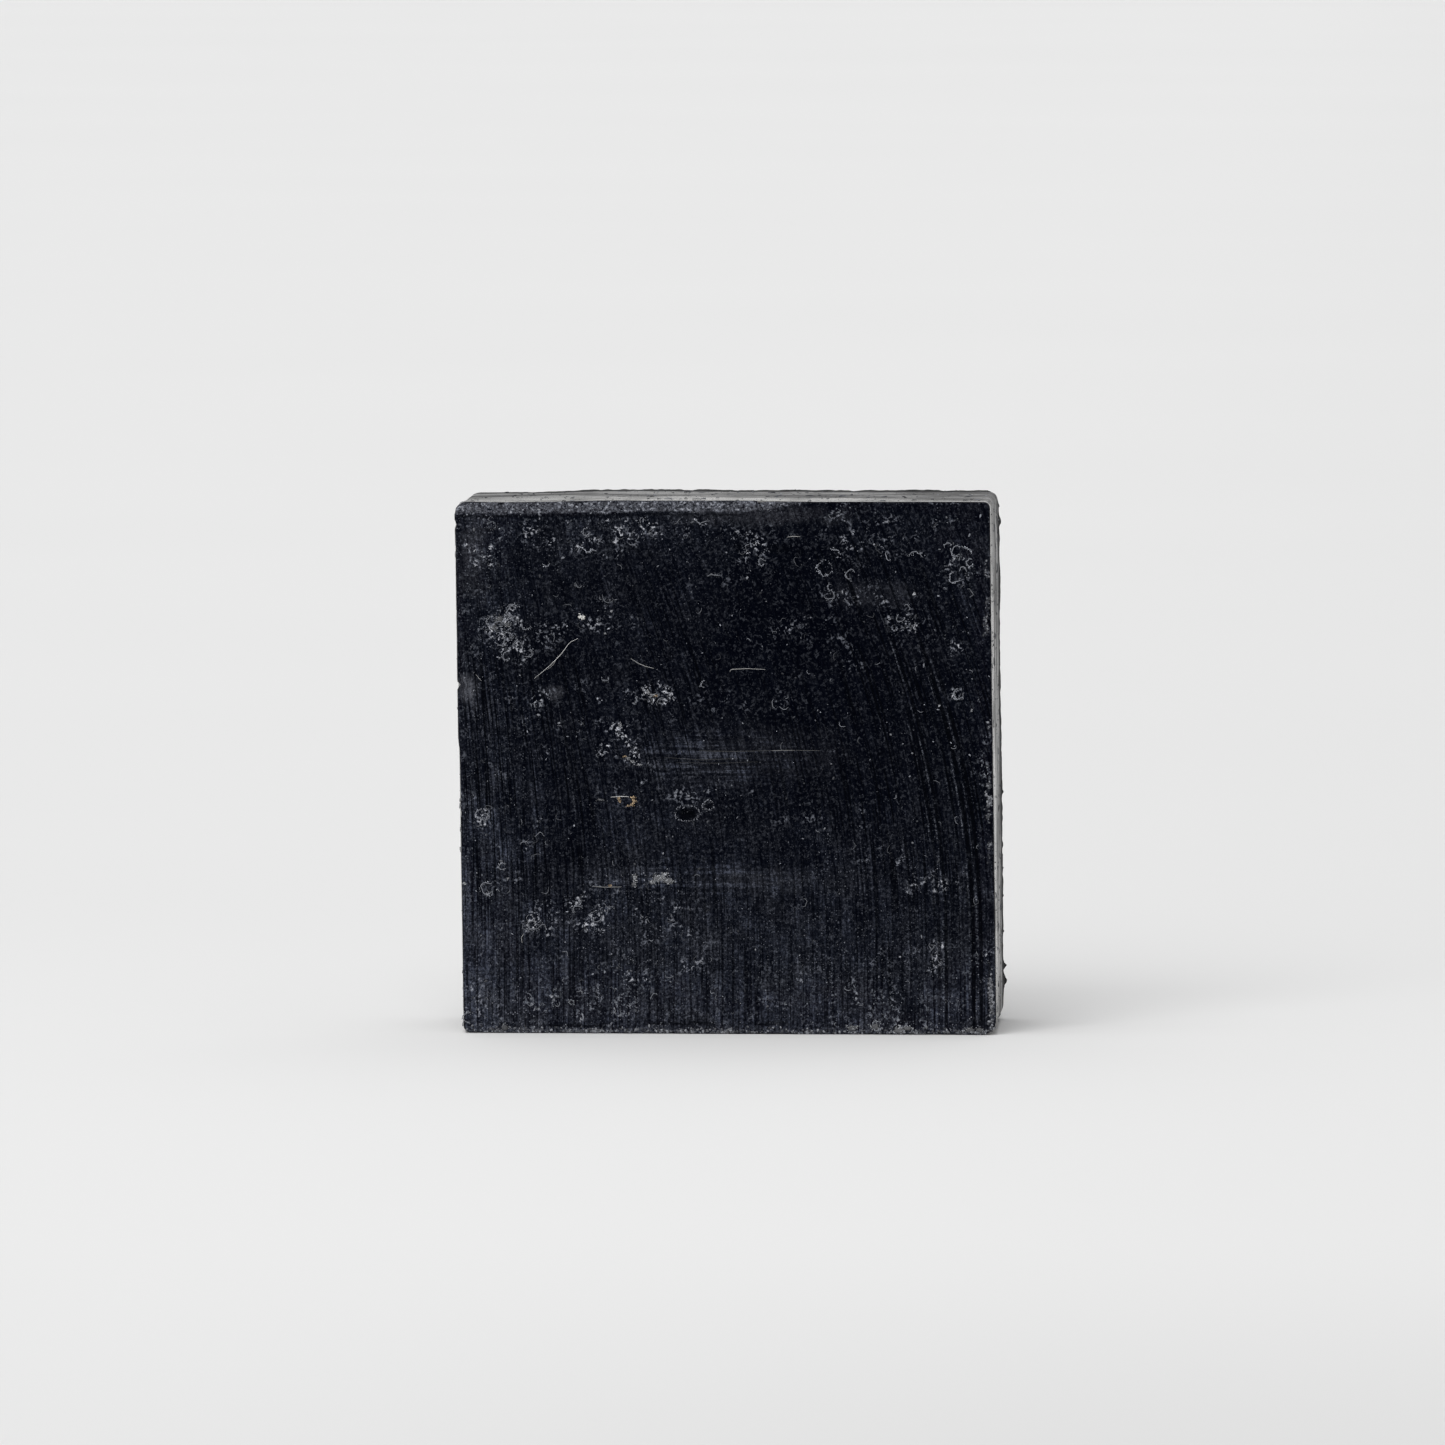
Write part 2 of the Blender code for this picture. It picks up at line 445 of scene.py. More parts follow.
def wall_rows():
    """Rows of the edge faces from front to back, as depth share, arc angle and side.

    The share runs from 0 at the front arris to 1 at the rear one. The angle is 90 on the
    wall and less round an arris, whose side is -1 in front and 1 behind.
    """
    near = [step / DEPTH for step in WALL_EDGE_STEPS]
    far = [1 - step / DEPTH for step in reversed(BURR_STEPS)]
    inner = near + list(np.linspace(near[-1], far[0], WALL_MIDDLE_ROWS + 2)[1:-1]) + far
    rows = [(0.0, angle, -1) for angle in ARC_ANGLES] + [(t, 90, -1) for t in inner]
    return rows + [(1.0, angle, 1) for angle in reversed(ARC_ANGLES)]


def rear_burr(edge, normal):
    """How far the ragged rear arris stands out, in mm, and less than 0 at the knocked corner.

    It doesn't stand out underneath, so the block stands flat.
    """
    x, up = edge.T
    ragged = plane_noise(x, up, 2.6, 61, 2)
    fine = plane_noise(x, up, 0.7, 62, 2)
    height = 0.12 + 0.12 * np.clip(ragged, -0.4, 1) + 0.07 * fine
    height *= smooth(-HALF - 2, -10, x) * smooth(-HEIGHT / 2 + 1.5, -HEIGHT / 2 + 5, up)
    on_right = smooth(0.3, 0.9, normal[:, 0])
    for place, half_length, chip in RIGHT_CHIPS:
        bump = smooth(1.0, 0.2, np.abs(up + HEIGHT / 2 - place) / half_length)
        height += on_right * chip * bump * (0.75 + 0.5 * fine)
    height = np.clip(height, 0, None) * smooth(-0.6, 0.1, normal[:, 1])
    from_corner = np.hypot(x - HALF, up - HEIGHT / 2)
    return height - KNOCK_DEPTH * smooth(KNOCK_REACH, 0.2, from_corner)


class Surface:
    """Vertices of the block as they are collected: place, direction and what they face."""

    def __init__(self):
        self.places, self.normals, self.facing = [], [], []
        self.count = 0

    def add(self, flat, depth, normal, facing):
        """Adds points: flat is x, z from the face's centre. Returns their indices."""
        x = flat[:, 0] - LEAN * flat[:, 1] / HEIGHT
        z = flat[:, 1] + HEIGHT / 2
        self.places.append(columns(x, depth, z))
        self.normals.append(np.broadcast_to(normal, (len(x), 3)))
        self.facing.append(np.broadcast_to(facing, (len(x), 3)))
        self.count += len(x)
        return np.arange(self.count - len(x), self.count)


def quads_between(first, second):
    """Faces of the band between two closed rows, the second one behind the first."""
    return columns(first, second, np.roll(second, -1), np.roll(first, -1)).tolist()


def grid_quads(index, backward):
    """Faces of a square grid of points, facing the front or, backward, the rear."""
    corners = [index[:-1, :-1], index[1:, :-1], index[1:, 1:], index[:-1, 1:]]
    if backward:
        corners.reverse()
    return columns(*(corner.ravel() for corner in corners)).tolist()


def halving_faces(fine, coarse):
    """Faces between a closed row and one of half as many points behind it."""
    faces = []
    for step in range(len(coarse)):
        a, b, c = fine[2 * step], fine[2 * step + 1], fine[(2 * step + 2) % len(fine)]
        d, e = coarse[step], coarse[(step + 1) % len(coarse)]
        faces += [[a, d, b], [b, d, e], [b, e, c]]
    return [[int(corner) for corner in face] for face in faces]


def block_surface():
    """The smooth block: its points, directions, what they face, and its faces."""
    surface = Surface()
    across, up, front_index = square_grid(FACE_CELLS)
    surface.add(face_point(across, up), FRONT, (0, -1, 0), (1, 0, 0))
    faces = grid_quads(front_index, backward=False)

    previous = perimeter(front_index)
    edge, normal = outline_point(across[previous], up[previous])
    radius = arris_radius(edge)
    burr = rear_burr(edge, normal)
    for t, angle, side in wall_rows():
        sine, cosine = math.sin(math.radians(angle)), math.cos(math.radians(angle))
        near = FRONT + radius * (1 - cosine)
        far = BACK - radius * (1 - cosine)
        behind = smooth(1 - BURR_STARTS / DEPTH, 1 - BURR_FULL / DEPTH, t) * sine
        outward = burr * behind - radius * (1 - sine)
        direction = np.insert(normal * sine, 1, side * cosine, axis=1)
        # Shares of front, wall and back, which read the other way round behind
        facing = (cosine**2, 1 - cosine**2, 0)[::-side]
        flat = edge + normal * outward[:, None]
        row = surface.add(flat, near + (far - near) * t, direction, facing)
        faces += quads_between(previous, row)
        previous = row

    across, up, back_index = square_grid(FACE_CELLS // 2)
    back_index += surface.add(face_point(across, up), BACK, (0, 1, 0), (0, 0, 1))[0]
    faces += halving_faces(previous, perimeter(back_index))
    faces += grid_quads(back_index, backward=True)
    collected = (surface.places, surface.normals, surface.facing)
    return *(np.concatenate(parts) for parts in collected), faces


def bevel_drop(x, z):
    """How far the planed arris reaches down the front face, in mm."""
    taper = smooth(11, 2, x)
    ragged = 0.24 * plane_noise(x, z * 0, 1.6, 63, 3) * taper
    return BEVEL_SHALLOW + (BEVEL_DEEP - BEVEL_SHALLOW) * taper + ragged


def plane_arris(places):
    """Planes off the top front arris. Returns how far each point was cut back, in mm."""
    drop = bevel_drop(places[:, 0], places[:, 2])
    run = 0.6 * drop
    length = np.hypot(drop, run)
    over = (-(places[:, 1] - FRONT) * drop + (places[:, 2] - (HEIGHT - drop)) * run) / length
    cut = np.clip(over, 0, None)
    places[:, 1] += cut * drop / length
    places[:, 2] -= cut * run / length
    return cut


def sink_top(places):
    """Lets the top sink a little below the height of the box, most of all at the left."""
    sink = TOP_SINK + LEFT_SINK * smooth(-12, -27, places[:, 0])
    places[:, 2] *= 1 - sink / HEIGHT


def nick_left_arris(places):
    """Small knocks in the front-left arris, and the step below the middle one."""
    near_front = smooth(2.2, 0.2, places[:, 1] - FRONT)
    edge = places[:, 0] + HALF - LEAN * (0.5 - places[:, 2] / HEIGHT)
    near_edge = smooth(2.0, 0.0, edge)
    z = places[:, 2] + 0.3 * noise(places, 0.8, 64)
    depth = 0.16 * smooth(36.2, 34.4, z)
    for place, half_length, nick in LEFT_NICKS:
        depth = depth + nick * smooth(1.0, 0.1, np.abs(z - place) / half_length)
    places[:, 0] += depth * near_front * near_edge


def edge_scuffs_and_highlight(raw_places, facing):
    """How pale the front part of each wall is, most of all in the middle of the top: partly
    scuffing, partly a painted highlight.
    """
    x, y, z = raw_places.T
    wave = 2.5 * plane_noise(x, z, 8.0, 72, 3)
    behind = y - FRONT - 0.6 * bevel_drop(x, z) * smooth(HEIGHT - 3, HEIGHT, z)
    on_top = smooth(HEIGHT - 1.5, HEIGHT - 0.5, z)
    middle = smooth(-22, -12, x) * smooth(24, 12, x)
    strength = 1 - on_top * (0.55 - 0.55 * middle)
    strength *= 0.6 + 0.4 * smooth(-0.4, 0.3, plane_noise(x, z, 3.0, 73, 2))
    return facing[:, 1] * smooth(11, 4, behind + wave) * smooth(-0.1, 0.2, behind) * strength


def dark_rim(raw_places, facing):
    """Where the ragged rear arris shows as a dark line round the walls."""
    ragged = 1.6 * noise(raw_places, 2.0, 74, 2)
    return facing[:, 1] * smooth(4.5, 2.0, BACK - raw_places[:, 1] + ragged)


def shape_block():
    """The block with all of its relief, and what each point needs for its material."""
    raw_places, normals, facing, faces = block_surface()
    x, z = raw_places[:, 0], raw_places[:, 2]
    front, wall, back = facing.T
    relief = front * front_relief(x, z) + back * back_relief(x, z)
    relief += wall * wall_relief(raw_places)
    places = raw_places + normals * relief[:, None]
    planed = smooth(0.0, 0.10, plane_arris(places))
    nick_left_arris(places)
    sink_top(places)
    places[:, 2] = np.maximum(places[:, 2], TABLE_GAP)

    wall_ash = 0.1 + 0.5 * smooth(0.1, 0.9, noise(raw_places, 6.0, 70, 3))
    back_ash = 0.1 + 0.6 * smooth(0.2, 0.9, noise(raw_places, 5.0, 71, 3))
    ash = front * ash_on_front(x, z) + back * back_ash + wall * wall_ash
    # painted shade, kept as dark: a thin band just under the planed lip, and the pits and cracks
    below = HEIGHT - bevel_drop(x, z) - z
    lip_shadow = smooth(0.0, 0.12, below) * smooth(0.55, 0.2, below) * smooth(6, 0, x)
    hollow_shade = np.maximum(crack_relief(x, z)[0], pit_relief(x, z, FRONT_PITS)[0])
    across, along = drag_frame(x, z)
    across = np.where(back > 0.5, x - BACK_SLANT * z + BACK_SHIFT, across)
    values = {
        "ash": np.maximum(ash, 0.35 * planed),
        "film": front * film_on_front(x, z) + back * 0.35 + wall * 0.3,
        "dark": front * np.maximum(0.8 * lip_shadow * (1 - planed), hollow_shade),
        "crust": front * crust_on_front(x, z) * (1 - planed),
        "stops": front * stops_on_front(x, z) + back * 0.3,
        "smear": front * smear_on_front(x, z),
        "scored": front * scored_on_front(x, z) + back * 0.6,
        "planed": planed * smooth(13, 4, x),
        "edge": edge_scuffs_and_highlight(raw_places, facing),
        "rim": dark_rim(raw_places, facing),
        "drag": columns(across, along, raw_places[:, 1]),
    }
    return places, facing, faces, values


# --- materials ---


class Value:
    """A node's output, with arithmetic that adds the nodes for it."""

    def __init__(self, graph, socket):
        self.graph, self.socket = graph, socket

    def __add__(self, other):
        return self.graph.math("ADD", self, other)

    def __sub__(self, other):
        return self.graph.math("SUBTRACT", self, other)

    def __rsub__(self, other):
        return self.graph.math("SUBTRACT", other, self)

    def __mul__(self, other):
        return self.graph.math("MULTIPLY", self, other)

    def __pow__(self, other):
        return self.graph.math("POWER", self, other)

    def __rpow__(self, other):
        return self.graph.math("POWER", other, self)

    def __abs__(self):
        return self.graph.math("ABSOLUTE", self)

    def most(self, other):
        """The greater of this and another."""
        return self.graph.math("MAXIMUM", self, other)

    def eased(self, low, high, to_low=0.0, to_high=1.0):
        """Eases from the range low to high into the range to_low to to_high."""
        inputs = {"Value": self, "From Min": low, "From Max": high}
        inputs |= {"To Min": to_low, "To Max": to_high}
        return self.graph.node("MapRange", inputs, "Result", interpolation_type="SMOOTHSTEP")

    def sibling(self, name):
        """Another output of the same node."""
        return Value(self.graph, self.socket.node.outputs[name])


class Graph:
    """A material, with short names for the nodes it is made of. Lengths are in mm."""

    def __init__(self, name, roughness, specular):
        self.material = bpy.data.materials.new(name)
        self.material.use_nodes = True
        self.tree = self.material.node_tree
        self.shader = self.tree.nodes["Principled BSDF"].inputs
        self.shader["Roughness"].default_value = roughness
        self.shader["Specular IOR Level"].default_value = specular

    def put(self, value, socket):
        """Links a value to a socket, or sets the socket to plain numbers."""
        if isinstance(value, Value):
            self.tree.links.new(value.socket, socket)
        elif socket.type == "VECTOR":
            socket.default_value = np.broadcast_to(value, 3).tolist()
        elif socket.type == "RGBA":
            socket.default_value = (*value, 1.0)
        else:
            socket.default_value = value

    def node(self, kind, inputs, output=0, **settings):
        """Adds a node with its settings and inputs, and gives one of its outputs."""
        node = self.tree.nodes.new("ShaderNode" + kind)
        for name, setting in settings.items():
            setattr(node, name, setting)
        for name, value in inputs.items():
            self.put(value, node.inputs[name])
        return Value(self, node.outputs[output])

    def place(self):
        """The point on the object, in mm."""
        return self.scaled(self.node("TexCoord", {}, "Object"), 1 / MM)

    def attribute(self, name, output="Fac"):
        """One of the block's per-point values."""
        return self.node("Attribute", {}, output, attribute_name=name)

    def math(self, operation, *values):
        """Arithmetic on one or two values."""
        return self.node("Math", dict(enumerate(values)), operation=operation)

    def scaled(self, vector, factors):
        """A vector or colour times three numbers, or times one, which may be a Value."""
        return self.node("VectorMath", {0: vector, 1: factors}, operation="MULTIPLY")

    def noise(self, vector, cell, detail=2, roughness=0.5, distortion=0, output="Fac"):
        """Noise from 0 to 1, mostly 0.3 to 0.7. cell is its grain in mm, one number or three."""
        if np.ndim(cell):
            vector, cell = self.scaled(vector, np.divide(1, cell)), 1
        inputs = {"Vector": vector, "Scale": 1 / cell, "Detail": detail}
        inputs |= {"Roughness": roughness, "Distortion": distortion}
        return self.node("TexNoise", inputs, output)

    def warped(self, vector, cell, reach):
        """The vector pushed about by noise, by up to reach mm, to make shapes irregular."""
        push = self.scaled(self.noise(vector, cell, output="Color"), reach)
        return self.node("VectorMath", {0: vector, 1: push}, operation="ADD")

    def parts(self, vector):
        """The x and y of a vector, or the red and green of a colour."""
        x = self.node("SeparateXYZ", {0: vector}, "X")
        return x, x.sibling("Y")

    def mix(self, share, first, second):
        """A colour between two others. Plain colours are given as three linear numbers."""
        inputs = {"Factor": share, "A": first, "B": second}
        return self.node("Mix", inputs, "Result", data_type="RGBA")

    def bump(self, height, depth):
        """Fine surface relief: height from 0 to 1 stands for depth mm."""
        inputs = {"Strength": 1.0, "Distance": depth * MM, "Height": height}
        self.put(self.node("Bump", inputs, "Normal"), self.shader["Normal"])

    def colour(self, value):
        """Gives the finished material its colour."""
        self.put(value, self.shader["Base Color"])
        return self.material


def squiggles(graph, vector, cell, width, level):
    """Thin curling lines where the noise passes a level: 1 on them and 0 between them."""
    return abs(graph.noise(vector, cell, 1) - level).eased(width, width * 0.3)


def specks(graph, vector, cell, reach, amount):
    """Scattered dots, each with its own strength. amount is the share of cells with one."""
    distance = graph.node("TexVoronoi", {"Vector": vector, "Scale": 1 / cell}, "Distance")
    chance, strength = graph.parts(distance.sibling("Color"))
    kept = graph.math("LESS_THAN", chance, amount) * strength**1.8
    return distance.eased(reach, reach * 0.4) * kept


def groove_lines(graph, drag):
    """The deep drag marks: 1 in the slits, which are painted dark as shade, and 0 between them, and
    the same for their lips.
    """
    across, along = graph.parts(drag)
    slits, lips = 0.0, 0.0
    for place, half_width, depth, low, high in GROOVES:
        fade = along.eased(low - 2, low + 2) * min(1.0, 10 * depth)
        fade *= along.eased(high + 6, high - 8)
        offset = across - place
        slit = abs(offset).eased(half_width, half_width * 0.5)
        lip = abs(offset + (half_width + 0.12)).eased(0.14, 0.04)
        slits, lips = (slit * fade).most(slits), (lip * fade).most(lips)
    broken = graph.noise(drag, (1.5, 4, math.inf), 3, 0.7)
    return slits * broken.eased(0.34, 0.50, 0.35, 1.0), lips * broken.eased(0.44, 0.58)


def charcoal_tone(graph, place, drag, grain, comb, scores):
    """Colour of the bare cut charcoal, streaked along the knife's sweep."""
    clouds = graph.noise(place, 3, 4, 0.6)
    wide_comb = graph.noise(drag, (1.4, 16, 6))
    weave = graph.noise(drag, (2.2, 0.4, 4), 2, 0.6)
    level_streaks = graph.noise(place, (8, 1, 0.4), 2, 0.6)
    smear = level_streaks.eased(0.40, 0.63, -0.4, 4.0)
    cut = scores.eased(0.53, 0.64, 0.0, -3.2) + scores.eased(0.45, 0.34, 0.0, 1.6)
    stops = graph.attribute("stops") + BASE_STOPS
    stops += smear * graph.attribute("smear")
    stops += cut * graph.attribute("scored")
    for wave, weight in ((grain, 13.7), (clouds, 6.0), (comb, 6.9), (wide_comb, 2.4), (weave, 3.0)):
        stops += (wave - 0.5) * weight
    level = graph.math("MINIMUM", 2.0**stops, 8.0)
    navy = graph.noise(place, 5, 3, 0.6).eased(0.38, 0.58)
    hue = graph.mix(navy, (0.0070, 0.0075, 0.0092), (0.0067, 0.0076, 0.0105))
    tint = {0: hue, 1: level, 2: (0.0, 0.0004, 0.0024)}
    return graph.node("VectorMath", tint, operation="MULTIPLY_ADD")


def ash_on_charcoal(graph, place, grain):
    """Share of pale ash: torn curls and short strokes, fine specks, crust and chips."""
    ash, crust, planed = (graph.attribute(name) for name in ("ash", "crust", "planed"))
    torn = graph.noise(place, 0.45, 2, 0.6).eased(0.48, 0.60)
    clumps = graph.noise(place, 0.9, 2, 0.6).eased(0.40, 0.58, 0.25, 1.0)
    curls = squiggles(graph, place, 0.75, 0.070, 0.5)
    curls = curls.most(squiggles(graph, graph.scaled(place, 1.37), 0.75, 0.085, 0.57))
    curls *= torn * clumps * grain.eased(0.3, 0.7, 0.3, 1.2) * ash.eased(0.0, 0.7, 0.05, 1.0)

    warped = graph.warped(place, 0.18, 0.25)
    faint = specks(graph, warped, 0.26, 0.36, ash * 0.25 + 0.34)
    faint *= 1.6 ** graph.attribute("stops") * 0.33
    bright = specks(graph, warped, 0.48, 0.23, ash * 0.6 + 0.07)
    crumbly = crust * grain.eased(0.42, 0.60, 0.0, 0.75)
    chipped = planed * grain.eased(0.58, 0.70, 0.0, 0.40) * clumps
    return curls.most(faint).most(bright).most(crumbly).most(chipped)


def cut_charcoal():
    """Freshly cut charcoal: blue-black and matte, with pale ash caught in its grain."""
    graph = Graph("cut_charcoal", roughness=0.8, specular=0.01)
    place = graph.place()
    drag = graph.attribute("drag", "Vector")
    film, planed, dark = (graph.attribute(name) for name in ("film", "planed", "dark"))
    grain = graph.noise(place, 0.32, 3, 0.8)
    comb = graph.noise(drag, (0.5, 8, 4), 3, 0.6)
    scores = graph.noise(drag, (0.24, 12, 4), 1)
    body = charcoal_tone(graph, place, drag, grain, comb, scores)

    # Film, and dust rubbed into the planed arris
    torn = graph.noise(place, 0.28, 2, 0.6, 1.4)
    holes = graph.noise(place, 0.8, 3, 0.7).eased(0.36, 0.48, 0.1, 1.0)
    rubbed = planed * holes * torn.eased(0.36, 0.52, 0.2, 1.0)
    veil = (film * comb.eased(0.35, 0.75, 0.3, 1.2)).most(rubbed)
    veil *= grain.eased(0.34, 0.62, 0.1, 1.4)
    body = graph.mix(veil, body, (0.080, 0.083, 0.097))

    # Fine blue grit, part of it combed along the sweep
    combed = graph.noise(drag, (0.16, 1.2, 1), 2, 0.6)
    grit = torn.eased(0.57, 0.70).most(combed.eased(0.59, 0.72))
    grit *= 1.6 ** graph.attribute("stops") * 0.10
    body = graph.mix(grit, body, (0.080, 0.089, 0.118))

    # Pale ash, and the lips of the deep drag marks
    slits, lips = groove_lines(graph, drag)
    pale = ash_on_charcoal(graph, place, grain).most(lips * grain.eased(0.45, 0.65, 0.0, 0.30))
    ash_colour = graph.mix(pale.eased(0.1, 0.6), (0.38, 0.41, 0.49), (0.52, 0.53, 0.57))
    body = graph.mix(pale, body, ash_colour)

    # Painted shade in the hollows and the slits of the drag marks; the score lines are darkened in
    # the same way
    ruts = scores.eased(0.55, 0.64, 0.0, 0.85) * graph.attribute("scored")
    shaded = (dark * grain.eased(0.2, 0.7, 1.0, 0.8)).most(slits * 0.92).most(ruts)
    graph.bump(comb * 0.8 + grain, 0.10)
    return graph.colour(graph.mix(shaded, body, (0.0008, 0.0011, 0.0022)))


def bar_skin():
    """The bar's moulded outside: satin charcoal, rubbed smoother in bands and near the front, and
    paler near the front, partly scuffing and partly a painted highlight.

    It is dark face on, and only mirrors the pale room at a glancing angle.
    """
    graph = Graph("bar_skin", roughness=0.6, specular=0.6)
    place = graph.place()
    ash, rim, edge = (graph.attribute(name) for name in ("ash", "rim", "edge"))
    grain = graph.noise(place, 0.25, 4, 0.7)
    grainy = grain.eased(0.3, 0.7)
    clouds = graph.noise(place, 4, 4, 0.6).eased(0.3, 0.7)
    bands = graph.noise(place, (16, 5, 16), 4, 0.65)
    threads = graph.noise(place, (9, 0.7, 9), 3, 0.7)
    streak = ((threads - 0.5) * 0.5 + bands).eased(0.41, 0.59)
    tone = streak * 0.4 + clouds * 0.2 + grainy * 0.4
    base = graph.mix(tone, (0.006, 0.006, 0.007), (0.040, 0.039, 0.039))
    dots = specks(graph, place, 0.4, 0.36, ash * 0.5)
    # painted highlight, partly scuffing: the front part of each wall is paler
    scuffing_and_highlight = edge * bands.eased(0.36, 0.56, 0.3, 1.0) * grain.eased(0.25, 0.6, 0.4, 1.0)
    pale = (dots * 0.3).most(ash * grain * 0.12).most(scuffing_and_highlight * 0.5)
    dusted = graph.mix(pale, base, (0.360, 0.347, 0.325))
    rough = (streak * -0.34 + edge * -0.30 + 0.60).most(0.12) + grainy * 0.08
    graph.put(rough.most(rim * 0.97), graph.shader["Roughness"])
    graph.bump(bands * 1.5 + grain, 0.03)
    return graph.colour(graph.mix(rim * 0.9, dusted, (0.004, 0.004, 0.005)))


def burnt_rim():
    """The ragged rear arris: dead-matt burnt charcoal, black at any angle."""
    graph = Graph("burnt_rim", roughness=1.0, specular=0.0)
    grain = graph.noise(graph.place(), 0.25, 4, 0.7)
    graph.bump(grain, 0.04)
    flecks = grain.eased(0.35, 0.70)
    return graph.colour(graph.mix(flecks, (0.009, 0.009, 0.010), (0.030, 0.030, 0.032)))


def ash_material(name, dark_colour=(0.008, 0.009, 0.012), pale_colour=(0.62, 0.65, 0.73)):
    """Crumbs of ash and burnt crust: each one takes its own tone from dark to pale."""
    graph = Graph(name, roughness=0.9, specular=0.2)
    grain = graph.noise(graph.place(), 0.08, 2, 0.6)
    graph.bump(grain, 0.02)
    tone = graph.attribute("tone") * grain.eased(0.3, 0.7, 0.7, 1.3)
    return graph.colour(graph.mix(tone, dark_colour, pale_colour))


def floor_material():
    """A plain matte studio floor with painted shade: its colour is a little dimmer far back, to the
    right and close in front.
    """
    graph = Graph("studio_floor", roughness=1.0, specular=0.0)
    place = graph.place()
    across, deep = graph.parts(place)
    # painted shade: the floor's colour darkens where the light would fall off, far back, to the
    # right and close in front
    level = deep.eased(-60, 220, 1.0, 0.965) * across.eased(-50, 110, 1.0, 0.972)
    level *= 1.0 - deep.eased(-250, -520) * across.eased(-60, 80, 0.04, 0.10)
    tone = graph.mix(graph.noise(place, 250, 1), (0.815, 0.815, 0.811), (0.830, 0.830, 0.826))
    return graph.colour(graph.scaled(tone, level))


# --- making objects ---


def new_object(name, data):
    """An object in the scene that holds a mesh, lamp or camera."""
    thing = bpy.data.objects.new(name, data)
    bpy.context.scene.collection.objects.link(thing)
    return thing


def make_object(name, points, faces, materials, values):
    """A smooth mesh from points in mm, with its materials and per-point values."""
    mesh = bpy.data.meshes.new(name)
    mesh.from_pydata((np.asarray(points) * MM).tolist(), [], faces)
    for material in materials:
        mesh.materials.append(material)
    for key, value in values.items():
        kind, field = ("FLOAT_VECTOR", "vector") if value.ndim == 2 else ("FLOAT", "value")
        mesh.attributes.new(key, kind, "POINT").data.foreach_set(field, value.ravel())
    mesh.polygons.foreach_set("use_smooth", [True] * len(mesh.polygons))
    mesh.update()
    return new_object(name, mesh)


def add_piece(thing):
    """Fastens a piece to the block."""
    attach(thing, "root")


def build_block():
    """The block itself, which stands for the CAD node."""
    places, facing, faces, values = shape_block()
    block = make_object("block", places, faces, [cut_charcoal(), bar_skin(), burnt_rim()], values)
    on_wall = facing[:, 1] * (1 - values["planed"])
    on_rim = places[:, 1] > BACK - BURNT_DEPTH
    kinds = [int(np.mean(on_wall[face]) > 0.5) * (1 + int(all(on_rim[face]))) for face in faces]
    block.data.polygons.foreach_set("material_index", kinds)
    add_piece(block)
    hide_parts("charcoal_block")
    return Ground(places, faces, values)


# --- small pieces that lie on the block ---

# How many grains, curls and lumps of crust are scattered
CRUMBS, CURLS, CRUST_LUMPS = 3200, 800, 1300

# How far a curl's middle rises above its ends, and the direction that the front faces
CURL_LIFT = 0.05
OUTWARD = np.array([0.0, -1.0, 0.0])

